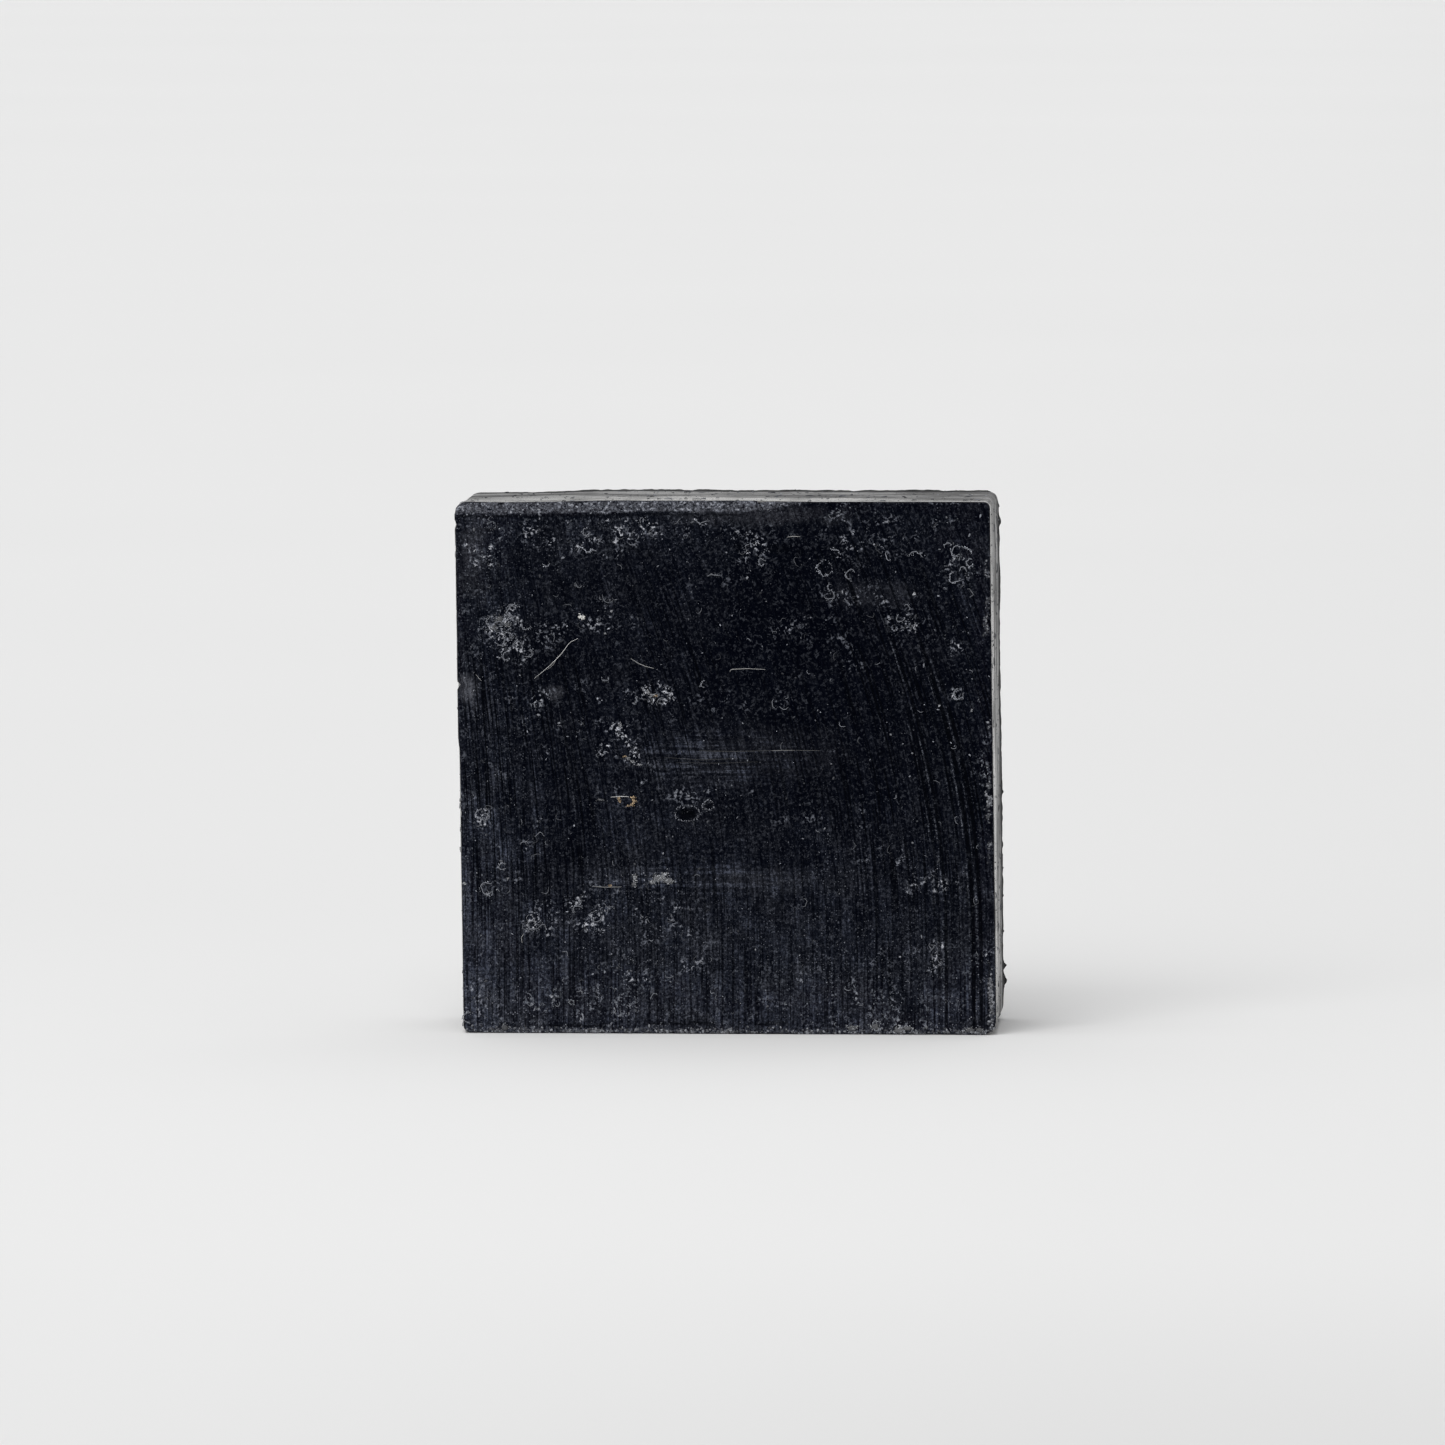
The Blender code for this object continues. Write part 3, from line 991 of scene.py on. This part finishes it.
# Curls and open rings of ash: x, z, radius, where the arc starts, its sweep, tone.
# Angles are in degrees, anticlockwise from the right.
ASH_ARCS = [
    (-25.7, 51.3, 0.75, 40, 250, 0.42), (-24.2, 49.6, 0.55, 150, 200, 0.36),
    (-28.4, 50, 0.6, 60, 240, 0.34), (-27.3, 47.6, 0.5, 200, 220, 0.38),
    (-25.2, 47, 0.6, 10, 190, 0.34), (-26.6, 45.8, 0.45, 90, 230, 0.36),
    (-23.9, 46.2, 0.5, 230, 200, 0.34), (-16.9, 60.9, 0.42, 80, 300, 0.4),
    (-17.5, 58.7, 0.35, 0, 200, 0.55), (-16.7, 58.8, 0.35, 180, 200, 0.55),
    (-16.1, 58.5, 0.3, 20, 180, 0.5), (-21.8, 57.2, 0.45, 200, 140, 0.45),
    (-14, 54, 1.4, 215, 75, 0.25), (-17.7, 54.7, 0.5, 170, 150, 0.25),
    (12, 56.6, 0.85, 95, 200, 0.55), (13.2, 58.3, 0.6, 0, 330, 0.52),
    (15.15, 55.8, 0.6, 40, 240, 0.4), (12.55, 53.4, 0.6, 200, 230, 0.36),
    (12.8, 54.3, 0.4, 90, 180, 0.32), (23.1, 57.4, 1.1, 35, 110, 0.48),
    (27.9, 58.7, 0.6, 30, 290, 0.52), (28.9, 58.5, 0.75, 210, 260, 0.5),
    (29.6, 57.3, 0.45, 60, 270, 0.55), (27.7, 55.5, 0.6, 100, 260, 0.46),
    (26.9, 59.3, 0.4, 10, 200, 0.4), (4.4, 57.3, 0.4, 30, 290, 0.42),
    (-2.8, 62.9, 0.9, 215, 110, 0.36), (-1.45, 55.1, 0.75, 35, 110, 0.3),
    (-2.5, 42.5, 0.45, 110, 140, 0.34), (-14.6, 43.3, 0.45, 200, 150, 0.34),
    (-27.1, 20.3, 0.4, 20, 300, 0.42), (-28.9, 17.6, 0.75, 50, 280, 0.42),
    (-29.5, 26.7, 0.7, 100, 270, 0.42), (-29.1, 26.3, 0.4, 260, 240, 0.4),
    (-23.2, 13.4, 0.8, 160, 150, 0.34), (-22.3, 12.6, 0.6, 10, 140, 0.34),
    (-17.9, 15, 0.55, 20, 200, 0.38), (-15.6, 14.2, 0.6, 190, 180, 0.36),
    (-13.9, 14.9, 0.5, 40, 170, 0.32), (-8.6, 4.3, 0.55, 60, 220, 0.34),
    (-18.7, 3.8, 0.28, 0, 320, 0.34), (-31.3, 1.9, 0.6, 60, 230, 0.4),
    (-2.05, 27.7, 0.65, 10, 330, 0.36), (-4.65, 26.9, 1.5, 20, 150, 0.22),
    (28.2, 41.3, 0.55, 90, 270, 0.52), (18.4, 1.1, 0.55, 30, 300, 0.44),
    (21.2, 50.6, 0.5, 120, 230, 0.38), (21.9, 51.8, 0.4, 300, 200, 0.34),
]

# Broken pale rims round the pits: x, z, half width, half height, tone
PIT_RIMS = [
    (-4.65, 26.8, 1.5, 0.98, 0.34), (-2.05, 27.8, 0.62, 0.62, 0.36), (12, 56.6, 0.85, 0.95, 0.4),
    (-28.4, 61.6, 0.55, 0.5, 0.25),
]

# Lint and long scratches' raised edges: points along each, radius, tone
FIBRES = [
    ([(-23.2, 43.1), (-21.4, 44.6), (-20, 46), (-18.9, 47.5), (-17.9, 48)], 0.03, 0.85),
    ([(-21.6, 44.2), (-20.9, 44.8), (-20.3, 45.9)], 0.024, 0.45),
    ([(-11.5, 45.6), (-10.6, 45), (-9.6, 44.6), (-8.7, 44.4)], 0.028, 0.6),
    ([(0.5, 44), (0.7, 44.3), (2.6, 44.4), (4.8, 44.3)], 0.036, 0.5),
    ([(-3.2, 34.4), (1, 34.35), (5.5, 34.45)], 0.018, 0.16),
    ([(5.5, 34.45), (7, 34.5), (8.4, 34.5)], 0.032, 0.3),
    ([(8.4, 34.5), (9.9, 34.5), (11.4, 34.5)], 0.018, 0.18),
    ([(-7.4, 33.6), (-3, 33.3), (1.5, 33.5)], 0.018, 0.11),
    ([(-6, 33), (-1, 32.9), (4, 33.1)], 0.016, 0.09),
    ([(-13.9, 28.75), (-12.6, 28.85), (-11.7, 28.8)], 0.04, 0.8),
    ([(-16, 17.9), (-14.6, 17.8), (-12.6, 17.85)], 0.032, 0.4),
    ([(-24.5, 12.1), (-24.8, 11.6), (-24.7, 11)], 0.032, 0.5),
    ([(7.45, 60.35), (8.2, 60.45), (9.05, 60.4)], 0.036, 0.55),
    ([(-30.3, 43.6), (-29.9, 43.1), (-29.6, 42.8)], 0.028, 0.4),
]

# Chips of pale crust: x, z, half width, half height, thickness, tone
CRUST_CHIPS = [
    (-8.1, 18.9, 0.95, 0.55, 0.1, 0.62), (-6.9, 18.6, 0.75, 0.4, 0.09, 0.55),
    (-8.9, 18.4, 0.45, 0.35, 0.08, 0.5), (-7.4, 19.4, 0.5, 0.25, 0.08, 0.6),
    (-15.2, 28.45, 0.55, 0.16, 0.08, 0.22), (-11, 19, 0.35, 0.55, 0.08, 0.45),
    (-11.1, 18.2, 0.3, 0.3, 0.08, 0.5), (-27.4, 50.3, 0.55, 0.4, 0.1, 0.34),
    (-26.5, 49.6, 0.4, 0.35, 0.1, 0.32), (-28, 49.2, 0.35, 0.45, 0.1, 0.3),
    (-8.8, 41.1, 0.45, 0.2, 0.08, 0.55), (-11.9, 33.5, 0.3, 0.22, 0.08, 0.5),
    (-11.3, 33.1, 0.38, 0.22, 0.08, 0.4), (-10.5, 32.7, 0.3, 0.2, 0.08, 0.45),
    (-12.8, 37.5, 0.22, 0.35, 0.08, 0.42), (-9.4, 41.5, 0.3, 0.25, 0.08, 0.4),
    (-26.8, 0.7, 0.55, 0.4, 0.16, 0.3), (15.4, 0.8, 0.75, 0.45, 0.18, 0.42),
    (18.1, 1, 0.6, 0.45, 0.18, 0.46), (21.1, 0.6, 0.75, 0.45, 0.24, 0.62),
    (22.1, 0.8, 0.55, 0.35, 0.22, 0.58), (29.7, 0.6, 0.7, 0.35, 0.18, 0.42),
    (30.8, 0.6, 0.5, 0.35, 0.18, 0.4), (22.85, 53.5, 0.2, 0.2, 0.1, 0.9),
    (25.9, 40, 0.14, 0.14, 0.08, 0.6), (29.8, 39.4, 0.14, 0.16, 0.08, 0.55),
    (-13.8, 51.3, 0.14, 0.14, 0.08, 0.5), (-14.6, 48.6, 0.14, 0.14, 0.08, 0.45),
    (-26.4, 18.8, 0.2, 0.16, 0.08, 0.55), (-31.7, 18.2, 0.2, 0.2, 0.08, 0.55),
]

# The same, for the one white flake and for the tan flecks
WHITE_CHIPS = [(-17.6, 50.6, 0.46, 0.24, 0.16, 1), (-17.25, 50.45, 0.22, 0.28, 0.12, 0.85)]
TAN_CHIPS = [
    (-11.15, 28.7, 0.3, 0.18, 0.12, 0.95), (-11.1, 28.3, 0.2, 0.26, 0.12, 1),
    (-11.35, 27.85, 0.22, 0.2, 0.12, 0.85), (-11.8, 27.7, 0.18, 0.16, 0.1, 0.6),
    (-12.95, 28.6, 0.2, 0.22, 0.1, 0.8), (-12.8, 28.25, 0.16, 0.18, 0.1, 0.55),
    (-12.2, 33.7, 0.25, 0.12, 0.08, 0.5), (-14, 17.9, 0.22, 0.14, 0.08, 0.5),
    (-8.5, 41.05, 0.32, 0.13, 0.08, 0.6),
]


class Ground:
    """The finished block, as the ground that small pieces lie on."""

    def __init__(self, places, faces, values):
        self.places = places
        self.tree = BVHTree.FromPolygons(places.tolist(), faces)
        triangles = []
        for face in faces:
            triangles.append(face[:3])
            if len(face) == 4:
                triangles.append([face[0], face[2], face[3]])
        self.triangles = np.array(triangles)
        a, b, c = (places[self.triangles[:, corner]] for corner in range(3))
        cross = np.cross(b - a, c - a)
        length = np.linalg.norm(cross, axis=1)
        self.areas = length / 2
        self.normals = cross / np.maximum(length, 1e-9)[:, None]
        self.values = values

    def scatter(self, count, weight, rng):
        """Random spots on the surface, denser where the per-point weight is greater."""
        chance = self.areas * weight[self.triangles].mean(axis=1)
        chosen = rng.choice(len(chance), size=count, p=chance / chance.sum())
        first, second = rng.random((2, count, 1))
        flip = first + second > 1
        first, second = np.where(flip, 1 - first, first), np.where(flip, 1 - second, second)
        a, b, c = (self.places[self.triangles[chosen, corner]] for corner in range(3))
        return a + (b - a) * first + (c - a) * second, self.normals[chosen]

    def on_front(self, x, z):
        """The spot of the front face at x, z, and its outward normal."""
        hit, normal, _, _ = self.tree.ray_cast(Vector((x, FRONT - 5, z)), Vector((0, 1, 0)))
        if hit is None:
            return np.array([x, FRONT, z]), OUTWARD
        return np.array(hit), np.array(normal)


class Shapes:
    """Many small meshes joined into one, each with its own tone."""

    def __init__(self):
        self.points, self.faces, self.tones = [], [], []
        self.count = 0

    def add(self, points, faces, tone):
        """Adds one small mesh, lifted if need be so that none of it is under the table."""
        lift = max(0.0, TABLE_GAP - points[:, 2].min())
        self.points.append(points + np.array([0.0, 0.0, lift]))
        self.faces.append(np.asarray(faces) + self.count)
        self.tones.append(np.full(len(points), tone))
        self.count += len(points)

    def build(self, name, material):
        """Makes the piece out of everything added."""
        faces = [face.tolist() for part in self.faces for face in part]
        points = np.concatenate(self.points)
        values = {"tone": np.concatenate(self.tones)}
        add_piece(make_object(name, points, faces, [material], values))


def unit_ball(levels):
    """Points and faces of a ball of radius 1."""
    mesh = bmesh.new()
    bmesh.ops.create_icosphere(mesh, subdivisions=levels, radius=1.0)
    points = np.array([vertex.co for vertex in mesh.verts])
    faces = np.array([[vertex.index for vertex in face.verts] for face in mesh.faces])
    mesh.free()
    return points, faces


GRAIN, LUMP = unit_ball(1), unit_ball(2)


def tangents(normal):
    """Two directions across a surface. On the front face they point right and up."""
    guide = np.array([0.0, 0.0, 1.0]) if abs(normal[2]) < 0.9 else np.array([0.0, 1.0, 0.0])
    right = np.cross(guide, normal) * (1 if abs(normal[2]) < 0.9 else -1)
    right /= np.linalg.norm(right)
    return right, np.cross(normal, right)


def turned_pair(normal, degrees):
    """Two directions across a surface at right angles, turned by an angle."""
    right, up = tangents(normal)
    cosine, sine = math.cos(math.radians(degrees)), math.sin(math.radians(degrees))
    return right * cosine + up * sine, up * cosine - right * sine


def crumb(spot, normal, directions, sizes, rng, ball=GRAIN):
    """A lump lying on a surface. sizes are its half width, half height and thickness."""
    points, faces = ball
    rough = points * (1 + rng.uniform(-0.32, 0.32, (len(points), 1)))
    wide = rough[:, :1] * directions[0] * sizes[0] + rough[:, 1:2] * directions[1] * sizes[1]
    raised = (rough[:, 2:] * 0.5 + 0.18) * normal * sizes[2]
    return spot + wide + raised, faces


def tube(path, normal, radius, sides=4):
    """A thin round strand along a path of points. It tapers at both ends."""
    path = np.asarray(path)
    along = np.gradient(path, axis=0)
    along /= np.linalg.norm(along, axis=1)[:, None]
    across = np.cross(along, normal)
    across /= np.linalg.norm(across, axis=1)[:, None]
    upward = np.cross(across, along)
    taper = np.sin(np.linspace(0.25, math.pi - 0.25, len(path))) ** 0.5 * radius
    turns = (np.arange(sides) * 2 * math.pi / sides)[None, :, None]
    ring = np.cos(turns) * across[:, None] + np.sin(turns) * upward[:, None]
    points = (path[:, None] + ring * taper[:, None, None]).reshape(-1, 3)
    index = np.arange(len(points)).reshape(len(path), sides)
    beside = np.roll(index, -1, axis=1)
    corners = (index[:-1], beside[:-1], beside[1:], index[1:])
    return points, np.stack(corners, axis=2).reshape(-1, 4)


def arc_path(spot, normal, radius, start, sweep, rng, spacing=0.22):
    """Points of a curl lying on a surface round a spot. Its middle stands off a little."""
    right, up = tangents(normal)
    steps = max(5, int(radius * math.radians(abs(sweep)) / spacing))
    angles = np.radians(np.linspace(start, start + sweep, steps))
    waves = rng.uniform(2.0, 4.0) * angles + rng.uniform(0, 6)
    reach = radius * (1 + 0.16 * np.sin(waves) + rng.uniform(-0.08, 0.08, steps))
    lift = CURL_LIFT * (0.4 + np.sin(np.linspace(0, math.pi, steps)))
    curl = np.cos(angles)[:, None] * right + np.sin(angles)[:, None] * up
    return spot + curl * reach[:, None] + lift[:, None] * normal


def scatter_crumbs(ground, rng):
    """Grains of ash caught on every face, thickest in the ashy patches."""
    shapes = Shapes()
    spots, normals = ground.scatter(CRUMBS, 0.015 + ground.values["ash"] ** 2, rng)
    for spot, normal in zip(spots, normals):
        size = 0.040 + 0.045 * rng.random() ** 2 + 0.05 * (rng.random() < 0.05)
        turned = turned_pair(normal, rng.uniform(0, 180))
        long = size * rng.uniform(1.0, 2.6)
        tone = 0.06 + 0.5 * rng.random() ** 2.5
        shapes.add(*crumb(spot, normal, turned, (long, size, size), rng), tone)
    shapes.build("ash_crumbs", ash_material("ash"))


def string_of_crumbs(shapes, path, normal, size, tone, rng):
    """Grains strung along a path, some of them missing."""
    for spot in path:
        if rng.random() < 0.25:
            continue
        turned = turned_pair(normal, rng.uniform(0, 180))
        grain = size * rng.uniform(0.6, 1.3)
        place = spot + (turned[0] * rng.normal() + turned[1] * rng.normal()) * 0.045
        sizes = (grain * rng.uniform(1.0, 2.0), grain, grain)
        shapes.add(*crumb(place, normal, turned, sizes, rng), tone * rng.uniform(0.35, 1.2))


def scatter_curls(ground, rng):
    """Curled shreds of ash, where the cut face tore instead of slicing."""
    shapes = Shapes()
    spots, normals = ground.scatter(CURLS, ground.values["ash"] ** 2 + 0.01, rng)
    for spot, normal in zip(spots, normals):
        radius = rng.uniform(0.15, 0.60)
        sweep = rng.uniform(50, 180) * rng.choice((-1, 1))
        path = arc_path(spot, normal, radius, rng.uniform(0, 360), sweep, rng)
        tone = 0.05 + 0.32 * rng.random() ** 1.7
        shapes.add(*tube(path, normal, rng.uniform(0.028, 0.055)), tone)
    for x, z, radius, start, sweep, tone in ASH_ARCS:
        spot, normal = ground.on_front(x, z)
        path = arc_path(spot, normal, radius, start, sweep, rng)
        shapes.add(*tube(path, normal, 0.05), tone * 0.7)
        fine = arc_path(spot, normal, radius + 0.04, start, sweep, rng, spacing=0.13)
        string_of_crumbs(shapes, fine, normal, 0.055, tone, rng)
    for x, z, half_width, half_height, tone in PIT_RIMS:
        turns = np.arange(0, 2 * math.pi, 0.10 / half_width)
        reach = 1 + rng.uniform(-0.07, 0.07, len(turns))
        rim = zip(x + np.cos(turns) * half_width * reach, z + np.sin(turns) * half_height * reach)
        spots = [ground.on_front(*place)[0] for place in rim]
        string_of_crumbs(shapes, spots, OUTWARD, 0.05, tone, rng)
    shapes.build("ash_curls", ash_material("ash_shreds"))


def scatter_crust(ground, rng):
    """Crumbly crust along the bottom and the right arris, where the cut broke the edge. Along the
    right arris the pale grains also follow the painted highlight.
    """
    shapes = Shapes()
    spots, normals = ground.scatter(CRUST_LUMPS, ground.values["crust"] ** 1.5 + 1e-4, rng)
    for spot, normal in zip(spots, normals):
        size = rng.uniform(0.05, 0.15)
        turned = turned_pair(normal, rng.uniform(0, 180))
        tone = 0.04 + 0.38 * rng.random() ** 2
        shapes.add(*crumb(spot, normal, turned, (size * 1.5, size, size), rng), tone)
    shapes.build("edge_crust", ash_material("crust", pale_colour=(0.62, 0.64, 0.70)))


def lay_chips(ground, name, chips, material, rng):
    """Crumbly chips in set places on the front face: a low lump under a crowd of grains."""
    shapes = Shapes()
    for x, z, half_width, half_height, thickness, tone in chips:
        spot, normal = ground.on_front(x, z)
        sizes = (half_width * 0.75, half_height * 0.75, thickness)
        level = turned_pair(normal, 0)
        shapes.add(*crumb(spot, normal, level, sizes, rng, LUMP), tone * 0.2)
        for _ in range(int(12 + 150 * half_width * half_height)):
            across, up = rng.normal(0, 0.5, 2)
            place = ground.on_front(x + across * half_width, z + up * half_height)[0]
            over = thickness * 0.45 * max(0.0, 1 - across**2 - up**2)
            size = rng.uniform(0.022, 0.052)
            sizes = (size * rng.uniform(1, 3.0), size, size)
            turned = turned_pair(normal, rng.uniform(0, 180))
            grain = crumb(place + normal * over, normal, turned, sizes, rng)
            shapes.add(*grain, tone * rng.uniform(0.08, 1.5))
    shapes.build(name, material)


def lay_fibres(ground):
    """Lint and the bright lips of long scratches on the front face."""
    shapes = Shapes()
    for corners, radius, tone in FIBRES:
        steps = np.linspace(0, len(corners) - 1, 6 * len(corners))
        line = [np.interp(steps, range(len(corners)), part) for part in zip(*corners)]
        for part in line:
            part[1:-1] = np.convolve(part, (0.25, 0.5, 0.25), "valid")
        spots = [ground.on_front(*place) for place in zip(*line)]
        path = np.array([spot + normal * radius * 1.2 for spot, normal in spots])
        shapes.add(*tube(path, OUTWARD, radius, sides=5), tone)
    shapes.build("fibres", ash_material("lint", (0.01, 0.01, 0.012), (0.75, 0.75, 0.74)))


def build_small_pieces(ground):
    """Everything that lies on the block."""
    scatter_crumbs(ground, np.random.default_rng(SEED + 80))
    scatter_curls(ground, np.random.default_rng(SEED + 81))
    scatter_crust(ground, np.random.default_rng(SEED + 82))
    chip_rng = np.random.default_rng(SEED + 83)
    for name, chips, *look in (
        ("crust_chips", CRUST_CHIPS, "pale_crust", (0.02, 0.02, 0.022), (0.66, 0.68, 0.72)),
        ("white_flake", WHITE_CHIPS, "white_flake", (0.30, 0.30, 0.29), (0.92, 0.91, 0.88)),
        ("tan_flecks", TAN_CHIPS, "tan_fleck", (0.05, 0.035, 0.025), (0.66, 0.50, 0.32)),
    ):
        lay_chips(ground, name, chips, ash_material(*look), chip_rng)
    lay_fibres(ground)


# --- stage ---

CAMERA_TARGET = Vector((-0.37, -12.5, 37.85)) * MM
CAMERA_AZIMUTH = 3.03
CAMERA_ELEVATION = 3.7
CAMERA_DISTANCE = 2.0
CAMERA_LENS = 411.6

FLOOR_RADIUS = 30.0

# Soft lamps: azimuth, height and softness in degrees, and strength. The last stands behind.
LAMPS = [(-14, 38, 44, 1.72), (-45, 78, 40, 0.72), (178, 45, 60, 0.46)]


def toward(azimuth, elevation):
    """Unit vector to a lamp or the camera. Azimuth 0 is in front and 90 to the right."""
    a, e = math.radians(azimuth), math.radians(elevation)
    return Vector((math.sin(a) * math.cos(e), -math.cos(a) * math.cos(e), math.sin(e)))


def build_floor():
    """A pale floor that reaches the horizon on every side."""
    mesh = bmesh.new()
    bmesh.ops.create_circle(mesh, cap_ends=True, segments=96, radius=FLOOR_RADIUS)
    floor = new_object("floor", bpy.data.meshes.new("floor"))
    mesh.to_mesh(floor.data)
    mesh.free()
    floor.data.materials.append(floor_material())


def build_world():
    """Even studio light: dim overhead and as bright as the floor at the horizon."""
    world = bpy.data.worlds.new("studio")
    world.use_nodes = True
    bpy.context.scene.world = world
    nodes, links = world.node_tree.nodes, world.node_tree.links
    direction = nodes.new("ShaderNodeTexCoord").outputs["Generated"]
    split = nodes.new("ShaderNodeSeparateXYZ")
    links.new(direction, split.inputs[0])
    ramp = nodes.new("ShaderNodeValToRGB")
    ramp.color_ramp.elements[0].position = 0.10
    ramp.color_ramp.elements[0].color = (0.83, 0.83, 0.825, 1)
    ramp.color_ramp.elements[1].position = 0.45
    ramp.color_ramp.elements[1].color = (0.32, 0.32, 0.325, 1)
    links.new(split.outputs["Z"], ramp.inputs["Fac"])
    links.new(ramp.outputs["Color"], nodes["Background"].inputs["Color"])


def build_lamps():
    """The soft lamps, all aimed at the block."""
    for index, (azimuth, elevation, softness, strength) in enumerate(LAMPS):
        lamp = bpy.data.lights.new(f"lamp_{index}", "SUN")
        lamp.energy = strength
        lamp.angle = math.radians(softness)
        aim = toward(azimuth, elevation).to_track_quat("Z", "Y")
        new_object(f"lamp_{index}", lamp).rotation_euler = aim.to_euler()


def build_camera():
    """The camera of the photo."""
    camera = bpy.data.cameras.new("camera")
    camera.lens = CAMERA_LENS
    camera.sensor_width = 36.0
    camera.clip_end = 100.0
    holder = new_object("camera", camera)
    back = toward(CAMERA_AZIMUTH, CAMERA_ELEVATION)
    holder.location = CAMERA_TARGET + back * CAMERA_DISTANCE
    holder.rotation_euler = back.to_track_quat("Z", "Y").to_euler()
    bpy.context.scene.camera = holder


bpy.context.scene.view_settings.view_transform = "Standard"
build_small_pieces(build_block())
build_floor()
build_world()
build_lamps()
build_camera()
